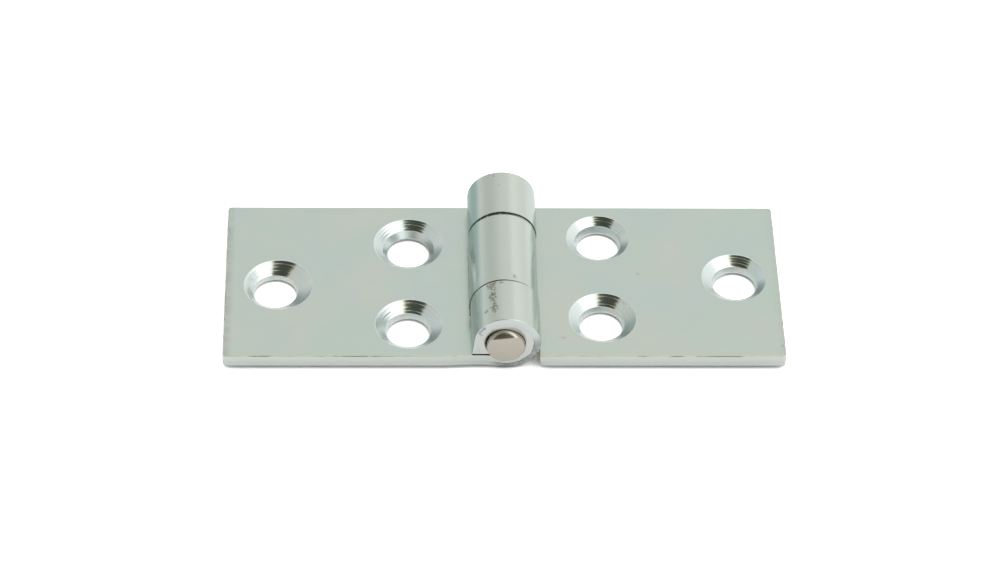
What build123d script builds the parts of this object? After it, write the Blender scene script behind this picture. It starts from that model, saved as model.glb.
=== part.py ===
from build123d import *
from math import acos, asin, degrees, sqrt
import os

# Butt hinge of pressed steel strip, lying open and flat with its countersunk side up.
# Millimetres. X runs across the leaves, Y along the pin, Z up.
# The origin is under the middle of the pin, at the lowest point of the knuckles.

os.makedirs("parts", exist_ok=True)

# Leaves
open_width = 80.0  # outer edge to outer edge with the hinge lying open
leaf_length = 30.0  # along the pin
sheet = 2.2  # thickness of the strip
leaf_lift = 0.45  # underside of the leaves above the lowest point of the knuckles
corner_radius = 0.5  # corners of the blanks, in plan
edge_roll = 0.3  # soft lower edge that blanking leaves all round the underside

# Pin
pin_radius = 2.75
pin_stand_out = 0.85  # beyond the knuckle at each end
pin_dome = 0.16  # crown of each end face
pin_edge = 0.5  # rounding between end face and side

# Knuckles, each the end of a leaf rolled under, round and over the pin
pin_clearance = 0.05  # between pin and roll, all round
set_radius = 8.0  # easy bend where a leaf dips into its roll
closing_turn = 65.0  # degrees at the end of the roll that are closed a little tighter
closing_radius = 4.4
lip_gap = 0.25  # between the lip and the top of its own leaf
front_knuckle = 7.95  # length along the pin
back_knuckle = 8.3
front_gap = 0.1  # between the front and the middle knuckle
back_gap = 0.2  # between the middle and the back knuckle
notch_gap = 0.25  # between a knuckle and the notch that clears it in the other leaf

# Screw holes, three in each leaf
hole_radius = 3.05
sink_angle = 100.0
hole_end_inset = 7.0  # ends of the leaf to the two inner holes
hole_drift = 0.65  # the hole pattern sits this far off the middle of each leaf
left_inner_hole = 13.6  # pin to the inner holes
right_inner_hole = 14.1
left_outer_inset = 7.5  # outer edge of the leaf to the outer hole
right_outer_inset = 6.5
left_sinks = {"outer": 4.9, "back": 5.0, "front": 4.8}  # countersink radii at the leaf's top
right_sinks = {"outer": 4.65, "back": 4.55, "front": 4.8}

# Sizes that follow from those above
bore_radius = pin_radius + pin_clearance
roll_radius = bore_radius + sheet
pin_height = roll_radius
leaf_reach = open_width / 2
leaf_top = leaf_lift + sheet
lip_end = leaf_top + lip_gap
lip_angle = degrees(asin((pin_height - lip_end) / bore_radius))  # lip to the pin's mid height
leaf_end = leaf_length / 2
notch_edge = roll_radius + notch_gap
dip_angle = degrees(acos((roll_radius - leaf_lift + set_radius) / (roll_radius + set_radius)))
dip_start = sqrt(leaf_lift * (2 * (roll_radius + set_radius) - leaf_lift))
blank_height = 2 * roll_radius
soft_edge = min(edge_roll, 0.8 * corner_radius, 0.3 * sheet)
pin_end = leaf_end + pin_stand_out
dome_radius = (pin_radius**2 + pin_dome**2) / (2 * pin_dome)

# Seams between the knuckles, as places along Y
front_seam = -leaf_end + front_knuckle
back_seam = leaf_end - back_knuckle

# Side views: the left leaf's plate lies at -X, the right leaf's at +X
left_view = Plane.XZ
right_view = Plane(origin=(0, 0, 0), x_dir=(-1, 0, 0), z_dir=(0, 1, 0))


def strip_side(view):
    # Side view of the rolled strip: out along its underside, back along its top
    with BuildSketch(view) as section:
        with BuildLine():
            underside = Line((-leaf_reach, leaf_lift), (-dip_start, leaf_lift))
            dip = JernArc(underside @ 1, underside % 1, set_radius, -dip_angle)
            roll = JernArc(dip @ 1, dip % 1, roll_radius, 270 + dip_angle - closing_turn)
            closing = JernArc(roll @ 1, roll % 1, closing_radius, closing_turn)
            lip = Line(closing @ 1, ((closing @ 1).X, lip_end))
            bore_turn = 270 + dip_angle + lip_angle
            bore = CenterArc((0, pin_height), bore_radius, 180 + lip_angle, -bore_turn)
            Line(lip @ 1, bore @ 0)
            top_dip = JernArc(bore @ 1, bore % 1, set_radius + sheet, dip_angle)
            top = Line(top_dip @ 1, (-leaf_reach, leaf_top))
            Line(top @ 1, underside @ 0)
        make_face()
    return section.sketch


def bay(x_from, x_to, y_from, y_to):
    # Plan of what is cut out of a blank between two places in X and two in Y
    with BuildSketch() as plan:
        with Locations(((x_from + x_to) / 2, (y_from + y_to) / 2)):
            Rectangle(abs(x_to - x_from), abs(y_to - y_from))
    return plan.sketch


def round_blank(leaf):
    # Plan corners first, then the soft edge all along the outside of the strip
    upright = leaf.edges().filter_by(Axis.Z)
    fillet(upright.filter_by_position(Axis.Z, leaf_lift, leaf_top), corner_radius)
    flat_edges = leaf.edges().filter_by_position(Axis.Z, leaf_lift - 0.01, leaf_lift + 0.01)
    outline = flat_edges.filter_by(lambda e: abs(abs(e.center().X) - dip_start) > 0.01)
    chamfer(outline, soft_edge)


def screw_holes(side, inner_hole, outer_inset, sinks):
    # side is -1 for the left leaf and 1 for the right
    inner_x = side * inner_hole
    middle = side * hole_drift
    inner_y = leaf_end - hole_end_inset
    places = {
        "outer": (side * (leaf_reach - outer_inset), middle, leaf_top),
        "back": (inner_x, middle + inner_y, leaf_top),
        "front": (inner_x, middle - inner_y, leaf_top),
    }
    for name, place in places.items():
        with Locations(place):
            CounterSinkHole(hole_radius, sinks[name], counter_sink_angle=sink_angle)


with BuildPart() as left_leaf:
    extrude(strip_side(left_view), amount=leaf_end, both=True)
    middle_bay = bay(-notch_edge, leaf_reach, front_seam, back_seam)
    extrude(middle_bay, amount=blank_height, mode=Mode.SUBTRACT)
    round_blank(left_leaf)
    screw_holes(-1, left_inner_hole, left_outer_inset, left_sinks)

with BuildPart() as right_leaf:
    extrude(strip_side(right_view), amount=leaf_end, both=True)
    front_bay = bay(notch_edge, -leaf_reach, -leaf_length, front_seam + front_gap)
    back_bay = bay(notch_edge, -leaf_reach, back_seam - back_gap, leaf_length)
    for end_bay in (front_bay, back_bay):
        extrude(end_bay, amount=blank_height, mode=Mode.SUBTRACT)
    round_blank(right_leaf)
    screw_holes(1, right_inner_hole, right_outer_inset, right_sinks)

with BuildPart() as pin:
    pin_side = Plane(origin=(0, 0, pin_height), x_dir=(0, 1, 0), z_dir=(1, 0, 0))
    with BuildSketch(pin_side) as half_section:
        with BuildLine():
            axis_line = Line((-pin_end, 0), (pin_end, 0))
            RadiusArc(axis_line @ 1, (pin_end - pin_dome, pin_radius), -dome_radius)
            Line((pin_end - pin_dome, pin_radius), (-pin_end + pin_dome, pin_radius))
            RadiusArc((-pin_end + pin_dome, pin_radius), axis_line @ 0, -dome_radius)
        make_face()
        fillet(half_section.vertices().group_by(Axis.Y)[-1], pin_edge)
    revolve(axis=Axis((0, 0, pin_height), (0, 1, 0)))

for name, piece in {"left_leaf": left_leaf, "right_leaf": right_leaf, "pin": pin}.items():
    piece.part.label = name
    export_step(piece.part, f"parts/{name}.step")
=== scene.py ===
import bmesh
import bpy
import math
from mathutils import Matrix, Vector


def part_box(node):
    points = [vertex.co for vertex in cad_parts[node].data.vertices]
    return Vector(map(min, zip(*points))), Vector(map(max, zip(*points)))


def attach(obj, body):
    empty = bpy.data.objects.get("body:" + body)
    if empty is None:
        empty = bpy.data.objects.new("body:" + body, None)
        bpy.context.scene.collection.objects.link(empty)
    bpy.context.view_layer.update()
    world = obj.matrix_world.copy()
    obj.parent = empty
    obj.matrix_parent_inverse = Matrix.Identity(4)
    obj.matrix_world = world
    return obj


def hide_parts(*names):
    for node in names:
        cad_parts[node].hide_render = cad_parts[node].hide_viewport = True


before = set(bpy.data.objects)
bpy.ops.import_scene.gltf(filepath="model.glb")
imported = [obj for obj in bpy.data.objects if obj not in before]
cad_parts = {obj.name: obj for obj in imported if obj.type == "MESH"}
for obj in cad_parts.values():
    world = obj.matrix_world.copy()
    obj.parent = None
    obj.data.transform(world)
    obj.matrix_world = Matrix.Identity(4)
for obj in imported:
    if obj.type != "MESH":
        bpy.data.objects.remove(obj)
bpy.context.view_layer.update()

# Pieces are modelled in millimetres and brought to metres when they are finished.
# The left leaf's plate lies at -X. The right leaf is made the same way, then mirrored in X.
mm = 0.001
leftLow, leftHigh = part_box("left_leaf")
pinLow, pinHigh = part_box("pin")
leafReach = -leftLow.x / mm  # pin to the outer edge of a leaf
leafEnd = leftHigh.y / mm  # middle to the front and back of a leaf
rollRadius = leftHigh.z / mm / 2  # outside of the knuckles
pinRadius = (pinHigh.z - pinLow.z) / mm / 2
pinEnd = pinHigh.y / mm
stripMap = "stripMap"  # UV map in millimetres: along the strip, and depth from its outside
near = 0.01  # two places this close are the same place
facet = 0.012  # the roll's flat faces lie this far inside its true surface
weld = 0.006  # points this close are merged, which closes the slivers that cuts leave
twice = 0.0001  # points this close were made twice

strip = {
    "sheet": 2.2,
    "lift": 0.45,  # underside above the floor
    "setRadius": 8.0,  # easy bend where a leaf dips into its roll
    "closingFrom": 92.0,  # turn round the pin at which the roll starts to close in
    "closingTo": 176.0,
    "closingFade": 10.0,  # from the front end, where it closes in most
    "lipReach": 4.75,  # pin to the foot of the lip
    "lipGap": 0.25,  # between the lip and the top of its own leaf
    "notchGap": 0.08,  # between a knuckle and the lower edge of the notch that clears it
    "notchLean": 0.21,  # the notch's upper edge comes this much closer to the pin
    "cornerRadius": 0.5,
    "rollStep": 5.0,  # degrees between cross-sections of the roll
    "setBack": 0.2,  # the front knuckle ends this far behind the edge of its leaf
    "setBackFrom": 9.0,  # where that edge starts to draw back
    "setBackTo": 4.0,
    "sharpFrom": 28,  # edges that turn by more degrees are sharp
}
leafSlots = ["plate", "cut", "burr"]
cutSlot, burrSlot = 1, 2
leafTop = strip["lift"] + strip["sheet"]
lipEnd = leafTop + strip["lipGap"]
boreRadius = rollRadius - strip["sheet"]
notchEdge = rollRadius + strip["notchGap"]
dipReach = rollRadius + strip["setRadius"]
dipAngle = math.acos((dipReach - strip["lift"]) / dipReach)
dipStart = dipReach * math.sin(dipAngle)
lipAngle = math.asin((rollRadius - lipEnd) / boreRadius)
bore = Vector((0, 0, rollRadius))

# Rounding of the edges, in millimetres
rounding = {
    "plate": 0.34,  # all round the underside
    "rim": 0.15,  # outside of the knuckles' ends
    "seam": 0.09,  # between the knuckles
    "lip": 0.03,  # foot of the lip
    "mouth": 0.45,  # inside of the knuckles' outer ends, at the upper left
    "mouthOpens": (55, 105),  # from here to there round the pin, in degrees from +X
    "mouthCloses": (222, 175),
    "fit": 0.06,  # inside of the knuckles' outer ends, elsewhere
    "heel": (0.2, 1.2),  # from the roll's bottom, in radians: from plate to rim
    "burr": 0.11,  # upper edges of the plate
    "burrTilt": (0.15, 0.995),  # steepest and most level of its faces, as the height of their normal
    "burrInset": 0.3,  # it may start this much nearer the pin than the notch
    "endReach": 1.0,  # edges this close to a leaf's ends are outer ones
    "segments": 4,
}

leaves = {
    "left_leaf": {
        "side": -1,
        "body": "pinned_leaf",
        "closingIn": (0.48, 0.02),  # at the front and at the back
        "bays": [(-7.05, 6.7)],  # cut out between these places along the pin
        # pin to hole, place along the pin, radii at the top and the foot of the countersink,
        # drift of the countersink, drift of the hole's foot
        "holes": [
            (32.5, -0.65, 4.9, 3.2, (0.12, -0.22), (-0.32, -0.2)),
            (13.6, 7.35, 5.0, 3.7, (0.0, 0.1), (0.0, 0.15)),
            (13.6, -8.65, 4.8, 3.25, (0.0, 0.0), (-0.12, 0.0)),
        ],
    },
    "right_leaf": {
        "side": 1,
        "body": "swinging_leaf",
        "closingIn": (0.16, 0.16),
        "bays": [(-30.0, -6.95), (6.5, 30.0)],
        "holes": [
            (33.5, 0.65, 4.65, 3.3, (0.05, 0.0), (0.22, 0.0)),
            (14.1, 8.65, 4.55, 3.4, (0.0, 0.05), (0.05, 0.05)),
            (14.1, -7.35, 4.8, 3.3, (0.0, 0.0), (-0.1, 0.0)),
        ],
    },
}

sink = {
    "holeRadius": 3.05,
    "halfAngle": 50.0,
    "footDepth": 1.95,  # the hole is straight below this
    "softRim": 0.1,
    "rimDrop": 0.4,  # depth of the soft rim, as a share of its width
    "sideRings": 0.15,  # depth of the rings at the sides, as a share of that at the back
    "ringsFull": 0.7,  # from here on towards the back they are at full depth
    "steps": 96,
    # shallow rings left by the countersink: share of the wall, and degrees off its slope
    "rings": [
        (0.08, -7.0),
        (0.19, 2.5),
        (0.04, -12.0),
        (0.17, 1.5),
        (0.04, -9.0),
        (0.20, 3.0),
        (0.04, -11.0),
        (0.13, -0.5),
        (0.11, 2.5),
    ],
}

pinShape = {
    "dome": 0.16,
    "edge": 0.42,  # rounding between the end face and the side
    "shoulderSlope": 1.1,  # a flat worn on the end's upper side, at this slope
    "shoulderReach": 0.8,  # its height, in from the rim
    "shoulderTurn": 97.0,  # its middle, in degrees from +X
    "shoulderSoft": 0.1,  # its lower border is this soft
    "faceSteps": 22,
    "edgeSteps": 8,
    "sharpFrom": 40,
    "steps": 96,
}


def addObject(bm, name, materials):
    mesh = bpy.data.meshes.new(name)
    bm.to_mesh(mesh)
    bm.free()
    for material in materials:
        mesh.materials.append(material)
    piece = bpy.data.objects.new(name, mesh)
    bpy.context.scene.collection.objects.link(piece)
    return piece


def vertsOf(found):
    return [item for item in found if isinstance(item, bmesh.types.BMVert)]


def edgesOf(found):
    return [item for item in found if isinstance(item, bmesh.types.BMEdge)]


def settle(piece):
    # the piece keeps the shape that its modifiers give it
    evaluated = piece.evaluated_get(bpy.context.evaluated_depsgraph_get())
    mesh = bpy.data.meshes.new_from_object(evaluated)
    piece.modifiers.clear()
    piece.data = mesh


def cutAway(piece, cutter):
    # the cutter's own material stays on the faces that it leaves
    cut = piece.modifiers.new("cut", "BOOLEAN")
    cut.operation = "DIFFERENCE"
    cut.solver = "EXACT"
    cut.material_mode = "TRANSFER"
    cut.object = cutter
    settle(piece)
    bpy.data.objects.remove(cutter)


def ramp(value, start, end):
    share = min(max((value - start) / (end - start), 0.0), 1.0)
    return share * share * (3 - 2 * share)


def turnAt(co):
    # angle round the pin from +X, from just before the bottom of the roll to past its lip
    start = math.radians(110)
    return (math.atan2(co.z - rollRadius, co.x) + start) % (2 * math.pi) - start


def outsideAt(leaf, turn, y):
    # outside of the roll and of its lip, for an angle round the pin and a place along it
    front, back = leaf["closingIn"]
    closingIn = front + (back - front) * min((y + leafEnd) / strip["closingFade"], 1)
    if turn <= math.pi:
        closed = ramp(math.degrees(turn), strip["closingFrom"], strip["closingTo"])
        reach = rollRadius - closingIn * closed
        return Vector((reach * math.cos(turn), y, rollRadius + reach * math.sin(turn)))
    down = (turn - math.pi) / lipAngle
    shoulder = rollRadius - closingIn
    reach = shoulder + (strip["lipReach"] - shoulder) * down
    return Vector((-reach, y, rollRadius + (lipEnd - rollRadius) * down))


def rolledStrip():
    # side view as a ribbon of faces, swept from the outer edge to the lip
    bm = bmesh.new()
    depthLayer = bm.verts.layers.float.new("depth")
    rollLayer = bm.verts.layers.float.new("roll")
    heights = [0, strip["sheet"] / 2, strip["sheet"]]
    column = []
    for height in heights:
        vert = bm.verts.new((-leafReach, 0, strip["lift"] + height))
        vert[depthLayer] = height
        column.append(vert)
    front = [bm.edges.new(pair) for pair in zip(column, column[1:])]

    def pushOn(front, travel):
        moved = bmesh.ops.extrude_edge_only(bm, edges=front)["geom"]
        bmesh.ops.translate(bm, verts=vertsOf(moved), vec=(travel, 0, 0))
        return edgesOf(moved)

    def swing(front, centre, angle):
        steps = max(1, round(abs(math.degrees(angle)) / strip["rollStep"]))
        spun = bmesh.ops.spin(bm, geom=front, cent=centre, axis=(0, 1, 0), angle=angle, steps=steps)
        return edgesOf(spun["geom_last"])

    front = pushOn(front, leafReach - strip["setBackFrom"])
    for step in range(4):
        front = pushOn(front, (strip["setBackFrom"] - dipStart) / 4)
    front = swing(front, (-dipStart, 0, strip["lift"] - strip["setRadius"]), dipAngle)
    before = set(bm.verts)
    swing(front, bore, -(1.5 * math.pi + dipAngle + lipAngle))
    for vert in set(bm.verts) - before:
        vert[rollLayer] = 1
    bmesh.ops.remove_doubles(bm, verts=bm.verts, dist=twice)
    return bm


def pressRoll(bm, leaf):
    # from a round roll to the real one, which is closed in a little at its sides
    depthLayer = bm.verts.layers.float["depth"]
    rollLayer = bm.verts.layers.float["roll"]
    for vert in bm.verts:
        turn = turnAt(vert.co)
        if vert[rollLayer] > 0.5 and turn > -math.pi / 2:
            inside = Vector((math.cos(turn), 0, math.sin(turn))) * boreRadius + bore
            inside.y = vert.co.y
            outside = outsideAt(leaf, turn, vert.co.y)
            vert.co = outside.lerp(inside, vert[depthLayer] / strip["sheet"])


def alongStrip(co):
    # length along the strip, counted from the bottom of the roll
    if -co.x > dipStart:
        return -co.x
    return -rollRadius * (math.atan2(co.x, rollRadius - co.z) % (2 * math.pi))


def mapStrip(bm):
    # the depth of every point, kept from the ribbon, and its length along the strip
    depthLayer = bm.verts.layers.float["depth"]
    uvLayer = bm.loops.layers.uv.new(stripMap)
    for face in bm.faces:
        overLip = face.calc_center_median().x < 0 and face.calc_center_median().z > leafTop
        for loop in face.loops:
            co = loop.vert.co
            along = alongStrip(co)
            if not overLip and co.x < 0 and -co.x <= dipStart:
                along = -co.x  # the dip, just before the bottom of the roll
            loop[uvLayer].uv = (along, loop.vert[depthLayer])


def skinOf(leaf, co):
    # which side of the strip a point is on: its outside, its inside, or neither
    reach = -co.x
    if reach > dipStart - near and co.z < leafTop + near:
        if co.z < strip["lift"] + near:
            return "outside"
        return "inside" if co.z > leafTop - near else None
    fromDip = math.hypot(reach - dipStart, co.z - strip["lift"] + strip["setRadius"])
    fromPin = math.hypot(co.x, co.z - rollRadius)
    dipTop = strip["setRadius"] + strip["sheet"]
    if reach > 0 and co.z < rollRadius / 2 and fromDip < dipTop + near:
        if fromDip < strip["setRadius"] + near:
            return "outside"
        if fromDip > dipTop - near:
            return "inside"
    if fromPin < boreRadius + near:
        return "inside"
    turn = turnAt(co)
    if turn > math.pi:
        down = (rollRadius - co.z) / (rollRadius - lipEnd)
        lean = -outsideAt(leaf, math.pi + lipAngle * min(down, 1), co.y).x
        return "outside" if reach > lean - facet else None
    surface = outsideAt(leaf, turn, co.y)
    if fromPin > math.hypot(surface.x, surface.z - rollRadius) - facet:
        return "outside"
    return None


def edgeRounding(leaf, edge):
    # how much an edge is rounded, by where it lies on the strip
    a, b = (vert.co for vert in edge.verts)
    middle = (a + b) / 2
    skins = {skinOf(leaf, a), skinOf(leaf, b)}
    inRoll = -middle.x < dipStart or middle.z > leafTop + near
    atEnd = abs(middle.y) > leafEnd - rounding["endReach"]
    fromBottom = abs(math.atan2(middle.x, rollRadius - middle.z))
    rim = rounding["rim"] if atEnd else rounding["seam"]
    if skins == {"outside"}:
        if not inRoll:
            return rounding["plate"]
        if middle.x < 0 and middle.z < rollRadius:
            if middle.z < leafTop:
                return rounding["plate"]
            return rounding["lip"] if middle.z < lipEnd + near else rim
        rise = ramp(fromBottom, *rounding["heel"])
        return rounding["plate"] * (1 - rise) + rim * rise
    if skins == {"inside"}:
        if not inRoll:
            return rounding["burr"]
        if not atEnd:
            return rounding["seam"]
        turn = math.degrees(turnAt(middle))
        mouth = ramp(turn, *rounding["mouthOpens"]) * ramp(turn, *rounding["mouthCloses"])
        return rounding["fit"] * (1 - mouth) + rounding["mouth"] * mouth
    return rounding["seam"]


def isCorner(edge, least=30):
    return len(edge.link_faces) == 2 and edge.calc_face_angle(0) > math.radians(least)


def roundEdges(piece, leaf):
    # a bevel whose width follows the weight of each edge
    widest = max(rounding["plate"], rounding["mouth"])
    bm = bmesh.new()
    bm.from_mesh(piece.data)
    bmesh.ops.remove_doubles(bm, verts=bm.verts, dist=twice)
    weight = bm.edges.layers.float.new("bevel_weight_edge")
    for edge in bm.edges:
        if isCorner(edge):
            edge[weight] = edgeRounding(leaf, edge) / widest
    bm.to_mesh(piece.data)
    bm.free()
    bevel = piece.modifiers.new("rounding", "BEVEL")
    bevel.limit_method = "WEIGHT"
    bevel.offset_type = "OFFSET"
    bevel.width = widest
    bevel.segments = rounding["segments"]
    bevel.profile = 0.5
    bevel.material = -1
    bevel.use_clamp_overlap = False
    settle(piece)


def roundPlanCorners(bm):
    # corners of the blank, seen from above
    upright = []
    for edge in bm.edges:
        a, b = (vert.co for vert in edge.verts)
        isUpright = abs(a.x - b.x) < 1e-3 and abs(a.y - b.y) < 1e-3
        if isUpright and -a.x > notchEdge - near and isCorner(edge):
            upright.append(edge)
    bmesh.ops.bevel(
        bm,
        geom=upright,
        offset=strip["cornerRadius"],
        offset_type="OFFSET",
        segments=5,
        profile=0.5,
        affect="EDGES",
        material=-1,
        clamp_overlap=False,
    )


def bayCutter(bays, cutMaterial):
    # clears the roll and the plate, and leaves the notch's face leaning towards the pin
    far = 3 * rollRadius
    lean = strip["notchLean"]
    outline = [
        (-notchEdge, -rollRadius),
        (far, -rollRadius),
        (far, far),
        (-notchEdge, far),
        (-notchEdge, leafTop + 0.02),
        (-notchEdge + lean, leafTop),
        (-notchEdge, strip["lift"]),
    ]
    bm = bmesh.new()
    for yFrom, yTo in bays:
        ends = [[bm.verts.new((x, y, z)) for x, z in outline] for y in (yFrom, yTo)]
        for end in ends:
            bm.faces.new(end)
        for index in range(len(outline)):
            low, high = ends
            bm.faces.new([low[index - 1], low[index], high[index], high[index - 1]])
    bmesh.ops.recalc_face_normals(bm, faces=bm.faces)
    return addObject(bm, "bayCutter", [cutMaterial])


def spinRound(bm, places, axis, steps):
    # a line of places, turned once round an axis through the origin
    line = [bm.verts.new(place) for place in places]
    edges = [bm.edges.new(pair) for pair in zip(line, line[1:])]
    bmesh.ops.spin(
        bm,
        geom=line + edges,
        cent=(0, 0, 0),
        axis=axis,
        angle=math.radians(360),
        steps=steps,
        use_merge=True,
    )


def sinkProfile(sinkRadius, footRadius, firstRing):
    # out from the hole's axis, down the ringed cone, then down through the strip
    slope = math.radians(sink["halfAngle"])
    depth = (sinkRadius - footRadius) / math.tan(slope)
    slant = depth / math.cos(slope)
    over = 0.5
    soft = sink["softRim"]
    points = [(0, over), (sinkRadius + soft + over, over), (sinkRadius + soft, 0)]
    place = Vector((sinkRadius, -sink["rimDrop"] * soft))
    rings = sink["rings"][firstRing:] + sink["rings"][:firstRing]
    for share, tilt in rings[:-1]:
        points.append(tuple(place))
        lean = slope + math.radians(tilt)
        place = place + Vector((-math.sin(lean), -math.cos(lean))) * slant * share
    points.append(tuple(place))
    points.append((footRadius, -depth))
    points.append((sink["holeRadius"], -sink["footDepth"]))
    points.append((sink["holeRadius"], -strip["sheet"] - over))
    points.append((0, -strip["sheet"] - over))
    return points


def sinkCutter(holes, side, sinkMaterial):
    slope = math.tan(math.radians(sink["halfAngle"]))
    rimDepth = sink["rimDrop"] * sink["softRim"]
    level = sink["sideRings"]
    bm = bmesh.new()
    for index, (reach, along, sinkRadius, footRadius, sinkDrift, holeDrift) in enumerate(holes):
        points = sinkProfile(sinkRadius, footRadius, 2 * index + 1)
        before = set(bm.verts)
        spinRound(bm, [(r, 0, z) for r, z in points], (0, 0, 1), sink["steps"])
        turned = [vert for vert in bm.verts if vert not in before]
        for vert in turned:
            reachOut = math.hypot(vert.co.x, vert.co.y)
            plain = sinkRadius + (vert.co.z + rimDepth) * slope
            if footRadius < reachOut < sinkRadius:
                # the rings fade out where the wall turns to the sides
                share = level + (1 - level) * ramp(vert.co.y / reachOut, 0, sink["ringsFull"])
                vert.co.xy *= (plain + (reachOut - plain) * share) / reachOut
            inward = ramp(reachOut, sinkRadius, sink["holeRadius"])
            drift = Vector(sinkDrift).lerp(Vector(holeDrift), inward)
            vert.co += Vector((-side * drift.x, drift.y, 0))
        bmesh.ops.translate(bm, verts=turned, vec=(-reach, along, leafTop))
    bmesh.ops.remove_doubles(bm, verts=bm.verts, dist=twice)
    bmesh.ops.recalc_face_normals(bm, faces=bm.faces)
    return addObject(bm, "sinkCutter", [sinkMaterial])


def finishPiece(piece, side, sharpAngle):
    # mirrored if it is the right leaf, brought to metres, and shaded smooth between its sharp edges
    bm = bmesh.new()
    bm.from_mesh(piece.data)
    bmesh.ops.remove_doubles(bm, verts=bm.verts, dist=weld)
    bmesh.ops.scale(bm, verts=bm.verts, vec=(-side * mm, mm, mm))
    bmesh.ops.recalc_face_normals(bm, faces=bm.faces)
    for face in bm.faces:
        face.smooth = True
    openEdges = sum(1 for edge in bm.edges if not edge.is_manifold)
    print(piece.name, "faces", len(bm.faces), "open edges", openEdges)
    bm.to_mesh(piece.data)
    bm.free()
    piece.data.set_sharp_from_angle(angle=math.radians(sharpAngle))
    weighted = piece.modifiers.new("weightedNormals", "WEIGHTED_NORMAL")
    weighted.keep_sharp = True
    weighted.weight = 80


def sharpenRings(piece, sinkIndex):
    # the level rings of a countersink are crisp, though they turn by only a few degrees
    bm = bmesh.new()
    bm.from_mesh(piece.data)
    for edge in bm.edges:
        inSink = all(face.material_index == sinkIndex for face in edge.link_faces)
        a, b = (vert.co.z for vert in edge.verts)
        if inSink and abs(a - b) < 0.002 * mm and isCorner(edge, 2):
            edge.smooth = False
    bm.to_mesh(piece.data)
    bm.free()


def sweepStrip(leaf):
    # the side view swept along the pin, with a cross-section where the closing in fades out
    bm = rolledStrip()
    bmesh.ops.translate(bm, verts=bm.verts, vec=(0, -leafEnd, 0))
    swept = bmesh.ops.extrude_face_region(bm, geom=bm.faces[:], use_keep_orig=True)["geom"]
    bmesh.ops.translate(bm, verts=vertsOf(swept), vec=(0, 2 * leafEnd, 0))
    everything = bm.verts[:] + bm.edges[:] + bm.faces[:]
    fadeEnd = (0, strip["closingFade"] - leafEnd, 0)
    bmesh.ops.bisect_plane(bm, geom=everything, plane_co=fadeEnd, plane_no=(0, 1, 0))
    mapStrip(bm)
    pressRoll(bm, leaf)
    bmesh.ops.recalc_face_normals(bm, faces=bm.faces)
    for face in bm.faces:
        isOuterEdge = abs(face.calc_center_median().x + leafReach) < near
        if abs(face.normal.y) > 0.9 or isOuterEdge:
            face.material_index = cutSlot
    return bm


def drawBack(bm):
    # the front knuckle ends a little behind the front edge of its leaf
    for vert in bm.verts:
        if vert.co.y < -leafEnd + near:
            isPlate = vert.co.z < leafTop + near and -vert.co.x > dipStart
            share = ramp(-vert.co.x, strip["setBackFrom"], strip["setBackTo"]) if isPlate else 1
            vert.co.y += strip["setBack"] * share


def shapeBlank(piece, leaf):
    bm = bmesh.new()
    bm.from_mesh(piece.data)
    bmesh.ops.remove_doubles(bm, verts=bm.verts, dist=twice)
    roundPlanCorners(bm)
    if leaf["side"] < 0:
        drawBack(bm)
    bm.to_mesh(piece.data)
    bm.free()


def markBurr(piece):
    # the rounding along the plate's upper edges has a finish of its own
    steepest, flattest = rounding["burrTilt"]
    bm = bmesh.new()
    bm.from_mesh(piece.data)
    for face in bm.faces:
        centre = face.calc_center_median()
        isRounding = face.calc_area() > 0 and steepest < abs(face.normal.z) < flattest
        onPlate = -centre.x > notchEdge - rounding["burrInset"]
        if isRounding and onPlate and leafTop - rounding["burr"] < centre.z < leafTop:
            face.material_index = burrSlot
    bm.to_mesh(piece.data)
    bm.free()


def makeLeaf(name, leaf, finishes):
    piece = addObject(sweepStrip(leaf), name + "Look", [finishes[slot] for slot in leafSlots])
    cutAway(piece, bayCutter(leaf["bays"], finishes["cut"]))
    shapeBlank(piece, leaf)
    roundEdges(piece, leaf)
    markBurr(piece)
    cutAway(piece, sinkCutter(leaf["holes"], leaf["side"], finishes["sink"]))
    finishPiece(piece, leaf["side"], strip["sharpFrom"])
    sharpenRings(piece, piece.data.materials.find("sinkZinc"))
    return piece


def makePin(material):
    bm = bmesh.new()
    domeRadius = (pinRadius**2 + pinShape["dome"] ** 2) / (2 * pinShape["dome"])
    # half outline: along the dome, round the edge, then along the side to the other end
    edge = pinShape["edge"]
    faceReach = pinRadius - edge
    points = []
    for step in range(pinShape["faceSteps"] + 1):
        r = faceReach * step / pinShape["faceSteps"]
        points.append((r, pinEnd - domeRadius + math.sqrt(domeRadius**2 - r**2)))
    edgeStart = points[-1][1]
    for step in range(1, pinShape["edgeSteps"] + 1):
        turn = math.radians(90 * step / pinShape["edgeSteps"])
        points.append((faceReach + edge * math.sin(turn), edgeStart - edge * (1 - math.cos(turn))))
    points += [(r, -y) for r, y in reversed(points)]
    spinRound(bm, [(r, y, 0) for r, y in points], (0, 1, 0), pinShape["steps"])
    bmesh.ops.remove_doubles(bm, verts=bm.verts, dist=twice)
    bmesh.ops.recalc_face_normals(bm, faces=bm.faces)
    # a flat is worn on the upper side of the front end
    turn = math.radians(pinShape["shoulderTurn"])
    for vert in bm.verts:
        if vert.co.y < -leafEnd:
            up = vert.co.x * math.cos(turn) + vert.co.z * math.sin(turn)
            worn = max(0, up - pinRadius + pinShape["shoulderReach"])
            eased = worn**2 / (worn + pinShape["shoulderSoft"])
            vert.co.y += pinShape["shoulderSlope"] * eased
    bmesh.ops.translate(bm, verts=bm.verts, vec=(0, 0, rollRadius))
    piece = addObject(bm, "pinLook", [material])
    finishPiece(piece, -1, pinShape["sharpFrom"])
    return piece


# Shader groups, used by more than one finish

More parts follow.
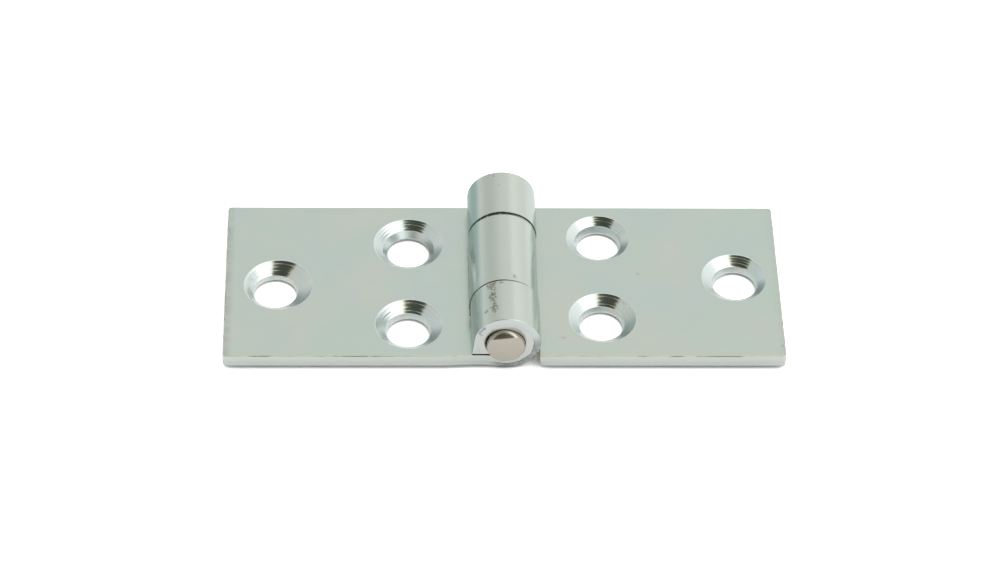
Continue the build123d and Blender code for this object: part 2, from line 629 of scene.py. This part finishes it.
def newGroup(name, inputs, outputs):
    group = bpy.data.node_groups.new(name, "ShaderNodeTree")
    for socketName, socketType, value in inputs:
        socket = group.interface.new_socket(socketName, in_out="INPUT", socket_type=socketType)
        if value is not None:
            socket.default_value = value
    for socketName, socketType in outputs:
        group.interface.new_socket(socketName, in_out="OUTPUT", socket_type=socketType)
    return group, group.nodes.new("NodeGroupInput"), group.nodes.new("NodeGroupOutput")


def setOrLink(tree, socket, value):
    if isinstance(value, bpy.types.NodeSocket):
        tree.links.new(value, socket)
    elif socket.type == "RGBA" and len(value) == 3:
        socket.default_value = (*value, 1.0)
    else:
        socket.default_value = value


def addNoise(tree, vector, scale, detail=2.0, roughness=0.5):
    noise = tree.nodes.new("ShaderNodeTexNoise")
    setOrLink(tree, noise.inputs["Scale"], scale)
    noise.inputs["Detail"].default_value = detail
    noise.inputs["Roughness"].default_value = roughness
    tree.links.new(vector, noise.inputs["Vector"])
    return noise.outputs["Fac"]


def addStretch(tree, vector, scale, location=(0, 0, 0)):
    mapping = tree.nodes.new("ShaderNodeMapping")
    mapping.inputs["Scale"].default_value = scale
    mapping.inputs["Location"].default_value = location
    tree.links.new(vector, mapping.inputs["Vector"])
    return mapping.outputs["Vector"]


def addRange(tree, value, fromLow, fromHigh, toLow=0.0, toHigh=1.0, smooth=True):
    node = tree.nodes.new("ShaderNodeMapRange")
    node.interpolation_type = "SMOOTHSTEP" if smooth else "LINEAR"
    node.inputs["From Min"].default_value = fromLow
    node.inputs["From Max"].default_value = fromHigh
    node.inputs["To Min"].default_value = toLow
    node.inputs["To Max"].default_value = toHigh
    tree.links.new(value, node.inputs["Value"])
    return node.outputs["Result"]


def addMix(tree, factor, a, b, blend="MIX"):
    node = tree.nodes.new("ShaderNodeMix")
    node.data_type = "RGBA"
    node.blend_type = blend
    colourA, colourB = [s for s in node.inputs if s.name in "AB" and s.type == "RGBA"]
    for socket, value in ((node.inputs[0], factor), (colourA, a), (colourB, b)):
        setOrLink(tree, socket, value)
    return [s for s in node.outputs if s.type == "RGBA"][0]


def addMath(tree, operation, a, b=0.0):
    node = tree.nodes.new("ShaderNodeMath")
    node.operation = operation
    setOrLink(tree, node.inputs[0], a)
    setOrLink(tree, node.inputs[1], b)
    return node.outputs[0]


def multiply(tree, a, b):
    return addMath(tree, "MULTIPLY", a, b)


def addStops(tree, value, stops):
    # a colour ramp through a list of places and colours
    node = tree.nodes.new("ShaderNodeValToRGB")
    tree.links.new(value, node.inputs[0])
    elements = node.color_ramp.elements
    while len(elements) < len(stops):
        elements.new(0.5)
    for element, (place, colour) in zip(elements, stops):
        element.position = place
        element.color = (*colour, 1.0)
    return node.outputs[0]


def addSplit(tree, vector):
    split = tree.nodes.new("ShaderNodeSeparateXYZ")
    tree.links.new(vector, split.inputs[0])
    return split.outputs


def makeTintGroup():
    # cloudy tints of passivated zinc
    group, into, out = newGroup(
        "tintClouds",
        [
            ("Vector", "NodeSocketVector", None),
            ("Green", "NodeSocketColor", (0.5, 0.6, 0.5, 1)),
            ("Blue", "NodeSocketColor", (0.5, 0.6, 0.6, 1)),
            ("Warm", "NodeSocketColor", (0.6, 0.6, 0.55, 1)),
            ("Scale", "NodeSocketFloat", 120.0),
        ],
        [("Color", "NodeSocketColor")],
    )
    first = addNoise(group, into.outputs["Vector"], into.outputs["Scale"], 2.0)
    moved = addStretch(group, into.outputs["Vector"], (0.6, 0.6, 0.6), (0.31, 0.17, 0.05))
    second = addNoise(group, moved, into.outputs["Scale"], 3.0)
    warmShare = addRange(group, first, 0.38, 0.66)
    blueShare = addRange(group, second, 0.42, 0.70)
    mixed = addMix(group, warmShare, into.outputs["Green"], into.outputs["Warm"])
    mixed = addMix(group, blueShare, mixed, into.outputs["Blue"])
    group.links.new(mixed, out.inputs["Color"])
    return group


def makeGrainGroup():
    # orange peel and fine pits, as height and as roughness
    group, into, out = newGroup(
        "platedGrain",
        [
            ("Vector", "NodeSocketVector", None),
            ("Peel", "NodeSocketFloat", 900.0),
            ("Fine", "NodeSocketFloat", 5000.0),
            ("Rough", "NodeSocketFloat", 0.28),
            ("Spread", "NodeSocketFloat", 0.06),
        ],
        [("Height", "NodeSocketFloat"), ("Roughness", "NodeSocketFloat")],
    )
    peel = addNoise(group, into.outputs["Vector"], into.outputs["Peel"], 2.0)
    fine = addNoise(group, into.outputs["Vector"], into.outputs["Fine"], 2.0)
    height = addMath(group, "ADD", peel, multiply(group, fine, 0.25))
    group.links.new(height, out.inputs["Height"])
    cloud = addMath(group, "SUBTRACT", addNoise(group, into.outputs["Vector"], 160.0, 3.0), 0.5)
    wander = multiply(group, cloud, into.outputs["Spread"])
    group.links.new(addMath(group, "ADD", into.outputs["Rough"], wander), out.inputs["Roughness"])
    return group


def makeSpotGroup():
    # a ragged-edged, speckled mark at one place
    group, into, out = newGroup(
        "spotMark",
        [
            ("Vector", "NodeSocketVector", None),
            ("Place", "NodeSocketVector", (0, 0, 0)),
            ("Size", "NodeSocketVector", (0.001, 0.001, 0.001)),
            ("Ragged", "NodeSocketFloat", 0.5),
        ],
        [("Mask", "NodeSocketFloat")],
    )

    def addVector(operation, a, b=None):
        node = group.nodes.new("ShaderNodeVectorMath")
        node.operation = operation
        group.links.new(a, node.inputs[0])
        if b is not None:
            group.links.new(b, node.inputs[1])
        return node

    away = addVector("SUBTRACT", into.outputs["Vector"], into.outputs["Place"])
    scaled = addVector("DIVIDE", away.outputs[0], into.outputs["Size"])
    length = addVector("LENGTH", scaled.outputs[0]).outputs["Value"]
    rag = addNoise(group, into.outputs["Vector"], 2500.0, 3.0)
    rag = multiply(group, addMath(group, "SUBTRACT", rag, 0.5), into.outputs["Ragged"])
    distance = addMath(group, "ADD", length, multiply(group, rag, 3.0))
    speckle = addNoise(group, into.outputs["Vector"], 4200.0, 2.0)
    speckle = addRange(group, speckle, 0.48, 0.56, 0.1, 1.0)
    mask = multiply(group, addRange(group, distance, 1.0, 0.6), speckle)
    group.links.new(mask, out.inputs["Mask"])
    return group


tintClouds = makeTintGroup()
platedGrain = makeGrainGroup()
spotMark = makeSpotGroup()


def addGroup(tree, group, coordinates, **values):
    node = tree.nodes.new("ShaderNodeGroup")
    node.node_tree = group
    tree.links.new(coordinates, node.inputs["Vector"])
    for name, value in values.items():
        setOrLink(tree, node.inputs[name], value)
    return node


def addTint(tree, coordinates, look, scale):
    # clouds of a finish's three tints
    tints = {"Green": look["green"], "Blue": look["blue"], "Warm": look["warm"]}
    return addGroup(tree, tintClouds, coordinates, **tints, Scale=scale).outputs["Color"]


def addGrain(tree, shader, coordinates, **values):
    # the grain's roughness goes to the shader, its height is handed back
    grain = addGroup(tree, platedGrain, coordinates, **values)
    tree.links.new(grain.outputs["Roughness"], shader.inputs["Roughness"])
    return grain.outputs["Height"]


def newMetal(name):
    material = bpy.data.materials.new(name)
    material.use_nodes = True
    tree = material.node_tree
    shader = tree.nodes["Principled BSDF"]
    shader.inputs["Metallic"].default_value = 1.0
    coordinates = tree.nodes.new("ShaderNodeTexCoord").outputs["Object"]
    return material, tree, shader, coordinates


def addStripMap(tree):
    node = tree.nodes.new("ShaderNodeUVMap")
    node.uv_map = stripMap
    return node.outputs["UV"]


def addBump(tree, shader, height, distance, strength=1.0):
    bump = tree.nodes.new("ShaderNodeBump")
    setOrLink(tree, bump.inputs["Strength"], strength)
    bump.inputs["Distance"].default_value = distance
    tree.links.new(height, bump.inputs["Height"])
    tree.links.new(bump.outputs["Normal"], shader.inputs["Normal"])


# Painted shade under the lower edges and in the crevice round the pin's front end
paintedShade = {
    "low": 1.0,  # height below which a downward edge is painted dark
    # colour of the painted shade under the lower edges
    "footShade": (0.10, 0.105, 0.105),
    "footTurned": (-0.12, -0.45),  # height of the normal: it darkens over this stretch
    "footFlat": (-0.995, -0.93),  # but not where the metal is level
    "mouthFrom": 3.52,  # painted shade in the crevice round the pin's front end
    "mouthTo": 3.34,
    "mouthTurn": (60.0, 115.0),  # from +X; the crevice opens towards the upper left
    "mouthDepth": (1.5, 1.0),  # from the front end, from dark to unshaded
    # colour of the painted shade in the crevice
    "mouth": (0.13, 0.135, 0.11),
}


def addFootShade(tree, colour):
    # painted shade under the lower edges: dark where the metal turns down, close to the floor, where it
    # would reflect the shaded floor under the plate
    node = tree.nodes.new("ShaderNodeTexCoord")
    turned = addSplit(tree, node.outputs["Normal"])[2]
    height = addSplit(tree, node.outputs["Object"])[2]
    sloped = addRange(tree, turned, *paintedShade["footTurned"])
    down = multiply(tree, sloped, addRange(tree, turned, *paintedShade["footFlat"]))
    low = addRange(tree, height, paintedShade["low"] * mm, 0.8 * paintedShade["low"] * mm)
    return addMix(tree, multiply(tree, down, low), colour, paintedShade["footShade"])


def addMouthShade(tree, coordinates, colour):
    # painted shade in the crevice between the pin and the roll, at the front
    x, y, z = addSplit(tree, coordinates)
    up = addMath(tree, "SUBTRACT", z, rollRadius * mm)
    span = addMath(tree, "ADD", multiply(tree, x, x), multiply(tree, up, up))
    fromPin = addMath(tree, "SQRT", span)
    close = addRange(tree, fromPin, paintedShade["mouthFrom"] * mm, paintedShade["mouthTo"] * mm)
    turn = addMath(tree, "ARCTAN2", up, x)
    turned = addRange(tree, turn, *[math.radians(angle) for angle in paintedShade["mouthTurn"]])
    ends = [(depth - leafEnd) * mm for depth in paintedShade["mouthDepth"]]
    deep = addRange(tree, y, *ends, 1.0, 0.0)
    share = multiply(tree, multiply(tree, close, turned), deep)
    return addMix(tree, share, colour, paintedShade["mouth"])


zinc = {
    "green": (0.500, 0.578, 0.520),  # three tints of the plating, in clouds
    "blue": (0.498, 0.570, 0.540),
    "warm": (0.540, 0.578, 0.518),
    "knuckle": (0.530, 0.568, 0.513),  # the bent part is a little warmer
    # painted reflection: the knuckles' sides are darker and greener, as where they reflect the leaves
    "flankReflection": (0.47, 0.545, 0.515),
    "rollHeight": (0.0035, 0.0045),  # in metres, where the plate has turned into the roll
    "flankReach": (0.0032, 0.0044),
    "edge": (0.545, 0.575, 0.490),  # paler, yellower strip beside the front edge
    "smudge": (0.36, 0.37, 0.34),  # rubbed dirt along the outer edge
    "smudgeReach": 1.5,
    "stain": (0.13, 0.11, 0.06),
    "rough": 0.26,
    "spread": 0.06,
    "bump": 0.0000007,
}


def addBand(tree, place, middle, halfWidth):
    # a band across one coordinate, in millimetres
    away = addMath(tree, "ABSOLUTE", addMath(tree, "SUBTRACT", place, middle * mm))
    return addRange(tree, away, halfWidth * mm, 0.6 * halfWidth * mm)


def makePlateZinc(name, look):
    material, tree, shader, coordinates = newMetal(name)
    tint = addTint(tree, coordinates, zinc, 130.0)
    x, y, z = addSplit(tree, coordinates)
    reach = addMath(tree, "ABSOLUTE", x)
    raised = addRange(tree, z, *zinc["rollHeight"])
    colour = addMix(tree, multiply(tree, raised, 0.8), tint, zinc["knuckle"])
    # painted reflection on the sides of the knuckles
    flankReflection = multiply(tree, raised, addRange(tree, reach, *zinc["flankReach"]))
    colour = addMix(tree, flankReflection, colour, zinc["flankReflection"])
    front = -leafEnd * mm
    nearEdge = addRange(tree, y, front + look["edgeReach"] * mm, front)
    ragged = addNoise(tree, addStretch(tree, coordinates, (0.2, 1, 1)), 900.0, 3.0)
    nearEdge = multiply(tree, nearEdge, addRange(tree, ragged, 0.25, 0.6, 0.5, 1.0))
    edgeShare = multiply(tree, nearEdge, look["edgeShare"])
    colour = addMix(tree, edgeShare, colour, zinc["edge"])
    for place, size, strength, raggedness in look["marks"]:
        spot = addGroup(
            tree,
            spotMark,
            coordinates,
            Place=[value * mm for value in place],
            Size=[value * mm for value in size],
            Ragged=raggedness,
        )
        strength = multiply(tree, spot.outputs["Mask"], strength)
        colour = addMix(tree, strength, colour, zinc["stain"])
    # painted shade in the seams between the knuckles, darker towards the left
    for middle, halfWidth, share, seamShadeColour in look["seamShades"]:
        seamShading = addNoise(tree, addStretch(tree, coordinates, (1, 0.3, 1)), 1500.0, 3.0)
        seamShading = addRange(tree, seamShading, 0.30, 0.52, 0.4, 1.0)
        seamShading = multiply(tree, seamShading, addBand(tree, y, middle, halfWidth))
        seamShading = multiply(tree, seamShading, multiply(tree, raised, share))
        leftwards = addRange(tree, x, 0.0045, 0.0005, 0.35, 1.0)
        seamShading = multiply(tree, seamShading, leftwards)
        colour = addMix(tree, seamShading, colour, seamShadeColour)
    outer = addRange(tree, reach, (leafReach - zinc["smudgeReach"]) * mm, leafReach * mm)
    smudged = multiply(tree, outer, addRange(tree, ragged, 0.3, 0.6, 0.3, 1.0))
    smudged = multiply(tree, smudged, look["smudge"])
    colour = addMix(tree, smudged, colour, zinc["smudge"])
    # painted shade under the lower edges and in the crevice round the pin
    colour = addMouthShade(tree, coordinates, addFootShade(tree, colour))
    tree.links.new(colour, shader.inputs["Base Color"])
    height = addGrain(tree, shader, coordinates, Rough=zinc["rough"], Spread=zinc["spread"])
    addBump(tree, shader, height, zinc["bump"])
    return material


cutEdge = {
    "upper": (0.55, 0.575, 0.545),  # a sheared edge is a little paler along its top
    "lower": (0.53, 0.565, 0.56),
    "line": (0.17, 0.18, 0.17),
    "boundary": 1.0,  # depth of the line between the two, in millimetres from the underside
    "fracture": (0.24, 0.255, 0.25),  # torn and grainy, round the lower right of the roll
    "tornFrom": (-10.0, -7.5),  # along the strip, from the bottom of the roll
    "tornTo": (2.5, 0.5),
    "rough": 0.30,
    "streaks": 0.4,  # height of the drawn-out streaks, as a share of the bump
    "bump": 0.000003,
}


def makeCutZinc():
    material, tree, shader, coordinates = newMetal("cutZinc")
    along = addStripMap(tree)
    drawn = addStretch(tree, along, (0.25, 7.0, 1.0))
    streaks = addNoise(tree, drawn, 1.0, 3.0)
    length, depth = addSplit(tree, along)[:2]
    wander = addNoise(tree, addStretch(tree, along, (0.45, 0.0, 1.0)), 1.0, 3.0)
    wobbly = addMath(tree, "ADD", depth, addRange(tree, wander, 0.2, 0.8, -0.15, 0.15))
    under = addMath(tree, "SUBTRACT", wobbly, cutEdge["boundary"])
    colour = addMix(tree, addRange(tree, under, -0.15, 0.15), cutEdge["lower"], cutEdge["upper"])
    torn = addRange(tree, length, *cutEdge["tornFrom"])
    torn = multiply(tree, torn, addRange(tree, length, *cutEdge["tornTo"]))
    grit = addNoise(tree, coordinates, 2600.0, 3.0, 0.7)
    grit = addRange(tree, grit, 0.38, 0.6, 0.5, 1.0)
    gritty = multiply(tree, addRange(tree, under, 0.08, -0.05), grit)
    colour = addMix(tree, multiply(tree, torn, gritty), colour, cutEdge["fracture"])
    line = addRange(tree, addMath(tree, "ABSOLUTE", under), 0.10, 0.02)
    faint = addRange(tree, torn, 0.0, 1.0, 0.15, 1.0)
    colour = addMix(tree, multiply(tree, line, faint), colour, cutEdge["line"])
    dark = addRange(tree, streaks, 0.60, 0.80, 0.0, 0.1)
    colour = addMix(tree, dark, colour, cutEdge["line"])
    # painted shade under the lower edges and in the crevice round the pin
    colour = addFootShade(tree, colour)
    colour = addMouthShade(tree, coordinates, colour)
    tree.links.new(colour, shader.inputs["Base Color"])
    grain = addGrain(tree, shader, coordinates, Rough=cutEdge["rough"], Spread=0.12, Peel=1800.0)
    streaked = multiply(tree, streaks, cutEdge["streaks"])
    addBump(tree, shader, addMath(tree, "ADD", grain, streaked), cutEdge["bump"])
    return material


burr = {
    "bright": (0.58, 0.60, 0.50),
    "darkDash": (0.27, 0.28, 0.22),  # dark dashes along the edge
    "rough": 0.4,
}


def makeBurrZinc():
    # the sharp upper edge: bright, with dark dashes
    material, tree, shader, coordinates = newMetal("burrZinc")
    dashes = addNoise(tree, addStretch(tree, coordinates, (0.35, 1.0, 1.0)), 900.0, 3.0, 0.6)
    colour = addMix(tree, addRange(tree, dashes, 0.50, 0.62), burr["bright"], burr["darkDash"])
    tree.links.new(colour, shader.inputs["Base Color"])
    shader.inputs["Roughness"].default_value = burr["rough"]
    return material


sinkFinish = {
    "green": (0.62, 0.665, 0.63),
    "blue": (0.58, 0.655, 0.645),
    "warm": (0.66, 0.675, 0.63),
    "paintedLight": (0.70, 0.755, 0.74),  # painted light where the wall faces right
    "shade": (0.46, 0.53, 0.52),  # painted shade where it faces left and back
    "rough": 0.15,
    "sideRough": 0.30,  # away from the wall that faces the front
    "chatter": 0.000006,
}


def makeSinkZinc():
    material, tree, shader, coordinates = newMetal("sinkZinc")
    tint = addTint(tree, coordinates, sinkFinish, 300.0)
    across, back, up = addSplit(tree, tree.nodes["Texture Coordinate"].outputs["Normal"])
    # painted light on the walls that face right and painted shade on those that face left and back
    rightward = addRange(tree, across, 0.15, 0.5)
    colour = addMix(tree, rightward, tint, sinkFinish["paintedLight"])
    leftward = addRange(tree, across, -0.1, -0.35)
    shade = multiply(tree, leftward, addRange(tree, back, -0.1, 0.25))
    colour = addMix(tree, shade, colour, sinkFinish["shade"])
    tree.links.new(colour, shader.inputs["Base Color"])
    onCone = addRange(tree, up, 0.58, 0.66)
    facing = multiply(tree, addRange(tree, back, -0.25, -0.5), onCone)
    levels = (sinkFinish["sideRough"], sinkFinish["rough"])
    rough = addRange(tree, facing, 0.0, 1.0, *levels, smooth=False)
    addGrain(tree, shader, coordinates, Rough=rough, Spread=0.06)
    # cutter chatter: noise drawn out round the cone into thin rings
    chatter = addNoise(tree, addStretch(tree, coordinates, (0.12, 0.12, 1.0)), 4000.0, 3.0, 0.6)
    addBump(tree, shader, chatter, sinkFinish["chatter"], facing)
    return material


pinFinish = {
    "green": (0.43, 0.415, 0.355),
    "blue": (0.43, 0.40, 0.36),
    "warm": (0.46, 0.405, 0.355),
    "rough": 0.25,
    "spread": 0.08,
    "bump": 0.0000015,
}


def makePinSteel():
    material, tree, shader, coordinates = newMetal("pinSteel")
    tint = addTint(tree, coordinates, pinFinish, 500.0)
    tree.links.new(tint, shader.inputs["Base Color"])
    values = {"Rough": pinFinish["rough"], "Spread": pinFinish["spread"], "Peel": 1500.0}
    height = addGrain(tree, shader, coordinates, **values)
    addBump(tree, shader, height, pinFinish["bump"])
    return material


# Each leaf's own wear and painted shade. Marks: place, half size, strength, raggedness.
# Painted shade in the seams between the knuckles, brown at the front seam where it is also dirt: place
# along the pin, half width, strength, colour.
seamShade = (0.05, 0.05, 0.035)
seamShadeAndDirt = (0.24, 0.20, 0.13)
leftLook = {
    "edgeReach": 1.2,  # width of the paler, yellower strip
    "edgeShare": 0.7,
    "smudge": 0.6,
    "marks": [
        ((-2.05, -7.6, 9.56), (0.8, 1.0, 0.8), 0.9, 0.7),  # a trail down the front knuckle
        ((-1.85, -9.8, 9.65), (0.65, 1.4, 0.8), 0.9, 0.8),
        ((-1.62, -12.0, 9.72), (0.55, 1.4, 0.8), 0.8, 0.8),
        ((-2.95, -12.3, 9.05), (0.5, 0.35, 0.6), 0.7, 0.7),
        ((-2.01, -11.94, 9.58), (0.3, 0.3, 0.4), 0.7, 0.7),
        ((0.38, -11.55, 9.99), (0.16, 0.16, 0.3), 0.8, 0.5),
        ((-0.51, -7.5, 9.97), (0.5, 0.3, 0.4), 0.5, 0.8),
        ((-1.14, 14.23, 9.87), (0.2, 0.2, 0.3), 0.6, 0.5),
        ((-0.46, 12.24, 9.98), (0.2, 0.2, 0.3), 0.5, 0.5),
    ],
    "seamShades": [(6.72, 0.12, 0.4, seamShade), (-7.05, 0.12, 0.6, seamShadeAndDirt)],
}
rightLook = {
    "edgeReach": 1.8,
    "edgeShare": 1.0,
    "smudge": 0.15,
    "marks": [
        ((1.38, -6.2, 9.81), (0.4, 0.55, 0.4), 0.7, 0.8),
        ((19.63, 1.35, 2.65), (0.3, 0.22, 0.4), 0.45, 0.5),
        ((8.28, -11.4, 2.65), (0.5, 0.4, 0.4), 0.25, 0.6),
        ((39.59, -12.94, 2.65), (0.3, 0.3, 0.4), 0.5, 0.6),
        ((7.87, -14.9, 2.65), (0.4, 0.3, 0.4), 0.6, 0.8),
    ],
    "seamShades": [(6.5, 0.42, 1.0, seamShade), (-6.95, 0.14, 0.5, seamShadeAndDirt)],
}

print("finishes")
finishes = {
    "cut": makeCutZinc(),
    "burr": makeBurrZinc(),
    "sink": makeSinkZinc(),
}
plateFinishes = {
    "left_leaf": makePlateZinc("leftPlateZinc", leftLook),
    "right_leaf": makePlateZinc("rightPlateZinc", rightLook),
}
pinSteel = makePinSteel()

print("leaves")
for name, leaf in leaves.items():
    piece = makeLeaf(name, leaf, {"plate": plateFinishes[name], **finishes})
    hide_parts(name)
    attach(piece, leaf["body"])

print("pin")
pinPiece = makePin(pinSteel)
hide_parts("pin")
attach(pinPiece, "pinned_leaf")

print("studio")
studio = {
    "floorHalf": 4.0,
    "floorWhite": 0.97,
    "floorGlow": 0.75,  # keeps the floor white to the camera
    "floorShine": 0.22,  # and in the metal
    "contact": 0.0026,  # reach of the dark under the hinge, in metres
    "openFrom": 0.26,  # share of open sky at which the floor starts to glow
    "openTo": 0.62,
    "backFloorShade": (0.42, 0.52, 0.51),  # painted shade on the floor as the metal sees it, behind and to the left
    "leftFrom": 0.01,  # where that starts and is full, in metres from the origin
    "leftTo": -0.02,
    "behindTo": 0.02,
    # light from round the pin's axis: degrees from straight up towards +X, and its colour
    "around": [
        (-90, (0.95, 1.01, 1.03)),
        (-74, (0.92, 0.96, 0.98)),
        (-62, (0.80, 0.83, 0.83)),
        (-50, (0.75, 0.77, 0.77)),
        (-36, (0.77, 0.79, 0.785)),
        (-20, (0.86, 0.88, 0.87)),
        (-6, (0.97, 0.975, 0.97)),
        (22, (0.98, 0.985, 0.98)),
        (29, (1.17, 1.17, 1.17)),
        (42, (1.20, 1.19, 1.19)),
        (58, (1.12, 1.13, 1.12)),
        (75, (1.05, 1.06, 1.06)),
        (90, (1.03, 1.05, 1.05)),
    ],
    "brightest": 1.3,  # the ramp's colours are written as shares of this
    "softTowards": (0.50, -0.45, 0.72),
    "softFrom": 38.0,
    "softTo": 18.0,
    "softGain": 0.5,
    "highTowards": (0.30, -0.05, 0.95),
    "highFrom": 26.0,
    "highTo": 12.0,
    "highGain": 0.8,
    "darkTowards": (-0.25, -0.54, 0.80),  # an unlit gap in front, above the camera's left
    "darkFrom": 31.0,
    "darkTo": 21.0,
    # its shades, from outside to its middle, with a pale yellow glow beside it
    "darkStops": [
        (0.0, (1.0, 1.0, 1.0)),
        (0.30, (1.0, 1.0, 0.72)),
        (0.62, (0.42, 0.42, 0.30)),
        (1.0, (0.085, 0.09, 0.07)),
    ],
}


def makeFloor():
    bm = bmesh.new()
    bmesh.ops.create_grid(bm, x_segments=1, y_segments=1, size=studio["floorHalf"])
    material = bpy.data.materials.new("paleFloor")
    material.use_nodes = True
    tree = material.node_tree
    tree.nodes.remove(tree.nodes["Principled BSDF"])
    white = tree.nodes.new("ShaderNodeBsdfDiffuse")
    glow = tree.nodes.new("ShaderNodeEmission")
    path = tree.nodes.new("ShaderNodeLightPath")
    contact = tree.nodes.new("ShaderNodeAmbientOcclusion")
    contact.samples = 8
    contact.inputs["Distance"].default_value = studio["contact"]
    openSky = addRange(tree, contact.outputs["AO"], studio["openFrom"], studio["openTo"])
    shiny = addMath(tree, "MAXIMUM", path.outputs["Is Glossy Ray"], path.outputs["Is Transmission Ray"])
    x, y = addSplit(tree, tree.nodes.new("ShaderNodeTexCoord").outputs["Object"])[:2]
    # painted shade on the floor behind and to the left, seen only in the metal
    left = addRange(tree, x, studio["leftFrom"], studio["leftTo"])
    behind = multiply(tree, left, addRange(tree, y, 0.0, studio["behindTo"]))
    plain = (studio["floorWhite"],) * 3
    inMetal = addMix(tree, behind, plain, studio["backFloorShade"])
    colour = addMix(tree, shiny, plain, inMetal)
    tree.links.new(colour, white.inputs["Color"])
    tree.links.new(addMix(tree, shiny, (1, 1, 1), inMetal), glow.inputs["Color"])
    shine = multiply(tree, shiny, studio["floorShine"])
    seen = multiply(tree, path.outputs["Is Camera Ray"], studio["floorGlow"])
    strength = multiply(tree, addMath(tree, "ADD", seen, shine), openSky)
    tree.links.new(strength, glow.inputs["Strength"])
    both = tree.nodes.new("ShaderNodeAddShader")
    tree.links.new(white.outputs[0], both.inputs[0])
    tree.links.new(glow.outputs[0], both.inputs[1])
    tree.links.new(both.outputs[0], tree.nodes["Material Output"].inputs["Surface"])
    floor = addObject(bm, "floor", [material])


def makeWorld():
    world = bpy.data.worlds.new("softStudio")
    bpy.context.scene.world = world
    world.use_nodes = True
    tree = world.node_tree
    background = tree.nodes["Background"]
    direction = tree.nodes.new("ShaderNodeTexCoord").outputs["Generated"]

    def towards(target, fromAngle, toAngle):
        dot = tree.nodes.new("ShaderNodeVectorMath")
        dot.operation = "DOT_PRODUCT"
        tree.links.new(direction, dot.inputs[0])
        dot.inputs[1].default_value = Vector(target).normalized()
        cosines = [math.cos(math.radians(angle)) for angle in (fromAngle, toAngle)]
        return addRange(tree, dot.outputs["Value"], *cosines)

    split = addSplit(tree, direction)
    around = addMath(tree, "ARCTAN2", split["X"], split["Z"])
    around = addRange(tree, around, -math.pi / 2, math.pi / 2, smooth=False)
    shares = []
    for angle, colour in studio["around"]:
        shares.append(((angle + 90) / 180, [share / studio["brightest"] for share in colour]))
    litFrom = addStops(tree, around, shares)
    soft = towards(studio["softTowards"], studio["softFrom"], studio["softTo"])
    high = towards(studio["highTowards"], studio["highFrom"], studio["highTo"])
    gain = addMath(tree, "ADD", multiply(tree, soft, studio["softGain"]), 1.0)
    gain = addMath(tree, "ADD", gain, multiply(tree, high, studio["highGain"]))
    strength = multiply(tree, gain, studio["brightest"])

    intoGap = towards(studio["darkTowards"], studio["darkFrom"], studio["darkTo"])
    gap = addStops(tree, intoGap, studio["darkStops"])
    litColour = addMix(tree, 1.0, litFrom, gap, "MULTIPLY")

    path = tree.nodes.new("ShaderNodeLightPath")
    seen = path.outputs["Is Camera Ray"]
    tree.links.new(addMix(tree, seen, litColour, (1, 1, 1)), background.inputs["Color"])
    hidden = multiply(tree, strength, addMath(tree, "SUBTRACT", 1.0, seen))
    tree.links.new(addMath(tree, "ADD", hidden, seen), background.inputs["Strength"])


# The camera stands in front, a little to the left, looking down at the hinge
photo = {
    "yaw": -2.937,
    "pitch": 45.958,
    "roll": -2.174,
    "focal": 128.43,
    "distance": 516.8,
    "aim": (-0.37, -0.384, 0.45),
}


def makeCamera():
    yaw, pitch, roll = (math.radians(photo[key]) for key in ("yaw", "pitch", "roll"))
    level = Vector((-math.sin(yaw), math.cos(yaw), 0)) * math.cos(pitch)
    ahead = level + Vector((0, 0, -math.sin(pitch)))
    sideways = Vector((math.cos(yaw), math.sin(yaw), 0))
    down = ahead.cross(sideways)
    right = math.cos(roll) * sideways + math.sin(roll) * down
    up = math.sin(roll) * sideways - math.cos(roll) * down
    place = (Vector(photo["aim"]) - ahead * photo["distance"]) * mm
    data = bpy.data.cameras.new("camera")
    data.lens = photo["focal"]
    data.sensor_width = 36.0
    data.clip_start = 0.01
    camera = bpy.data.objects.new("camera", data)
    bpy.context.scene.collection.objects.link(camera)
    turn = Matrix((right, up, -ahead)).transposed().to_4x4()
    camera.matrix_world = Matrix.Translation(place) @ turn
    bpy.context.scene.camera = camera


makeFloor()
makeWorld()
makeCamera()
bpy.context.scene.view_settings.view_transform = "Standard"
